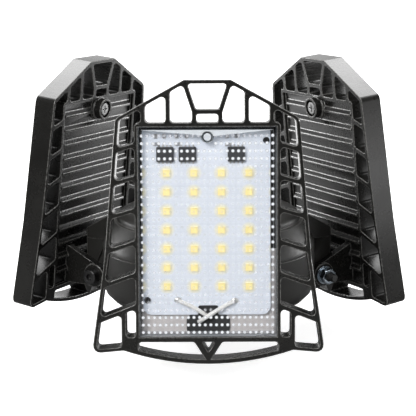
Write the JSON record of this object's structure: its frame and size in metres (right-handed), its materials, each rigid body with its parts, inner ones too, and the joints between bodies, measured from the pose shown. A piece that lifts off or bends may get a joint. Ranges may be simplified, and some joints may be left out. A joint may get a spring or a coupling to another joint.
{
  "type": "folding garage light",
  "caption": "Ceiling lamp for a screw socket: a round hub with three lattice LED panels that fold down and out on friction hinges.",
  "frame": {"origin": "on the lamp axis, at the lower rim of the screw cap's metal shell", "axes": "+Z along the lamp axis, from the hub to the tip of the cap; -Y towards panel a, the one that faces the picture's camera"},
  "size_m": [0.1886, 0.164, 0.121],
  "materials": {
    "cap_metal": "bright drawn and rolled thread",
    "insulator_black": "glossy dark insulator",
    "contact_brass": "tinned contact",
    "collar_plastic": "satin moulded",
    "hub_casting": "satin black powder coat",
    "panel_casting": "satin black powder coat on a die casting",
    "screw_steel": "zinc-plated",
    "hub_board_green": "solder-masked board",
    "terminal_plastic": "moulded terminal block",
    "fuse_glass": "clear tube with metal caps",
    "lead_white": "silicone insulation",
    "rubber_black": "soft matt rubber",
    "lens_clear": "clear moulding with a fine dot pattern",
    "board_white": "white solder mask",
    "diode_yellow": "yellow phosphor in a white case",
    "chip_black": "moulded package",
    "bolt_dark": "blackened steel",
    "zinc_bright": "bright zinc"
  },
  "bodies": {
    "hub": {"screw_shell": "cap_metal", "cap_insulator": "insulator_black", "centre_contact": "contact_brass", "cap_collar": "collar_plastic", "upper_housing": "hub_casting", "lower_housing": "hub_casting", "bottom_cover": "panel_casting", "cover_screws": "screw_steel", "housing_screws": "screw_steel", "terminal_board": "hub_board_green", "terminal_board_screws": "screw_steel", "terminal_blocks": "terminal_plastic", "fuse": "fuse_glass", "cap_leads": "lead_white", "cable_bushes": "rubber_black"},
    "panel_a": {"panel_frame_a": "panel_casting", "lens_a": "lens_clear", "light_board_a": "board_white", "diodes_a": "diode_yellow", "driver_chips_a": "chip_black", "board_screws_a": "screw_steel", "lens_screw_a": "screw_steel", "wire_plug_a": "rubber_black", "board_leads_a": "lead_white", "hinge_bolt_a": "bolt_dark", "hinge_nut_a": "zinc_bright", "hinge_washers_a": "zinc_bright"},
    "panel_b": {"panel_frame_b": "panel_casting", "lens_b": "lens_clear", "light_board_b": "board_white", "diodes_b": "diode_yellow", "driver_chips_b": "chip_black", "board_screws_b": "screw_steel", "lens_screw_b": "screw_steel", "wire_plug_b": "rubber_black", "board_leads_b": "lead_white", "hinge_bolt_b": "bolt_dark", "hinge_nut_b": "zinc_bright", "hinge_washers_b": "zinc_bright"},
    "panel_c": {"panel_frame_c": "panel_casting", "lens_c": "lens_clear", "light_board_c": "board_white", "diodes_c": "diode_yellow", "driver_chips_c": "chip_black", "board_screws_c": "screw_steel", "lens_screw_c": "screw_steel", "wire_plug_c": "rubber_black", "board_leads_c": "lead_white", "hinge_bolt_c": "bolt_dark", "hinge_nut_c": "zinc_bright", "hinge_washers_c": "zinc_bright"}
  },
  "joints": [
    {"name": "panel_a_fold", "type": "hinge", "parent": "hub", "child": "panel_a", "pos_m": [0, -0.053, -0.0475], "axis": [1, 0, 0], "range_deg": [0, 95.7]},
    {"name": "panel_b_fold", "type": "hinge", "parent": "hub", "child": "panel_b", "pos_m": [0.0459, 0.0265, -0.0475], "axis": [-0.5, 0.866, 0], "range_deg": [0, 95.7]},
    {"name": "panel_c_fold", "type": "hinge", "parent": "hub", "child": "panel_c", "pos_m": [-0.0459, 0.0265, -0.0475], "axis": [-0.5, -0.866, 0], "range_deg": [0, 95.7]}
  ]
}
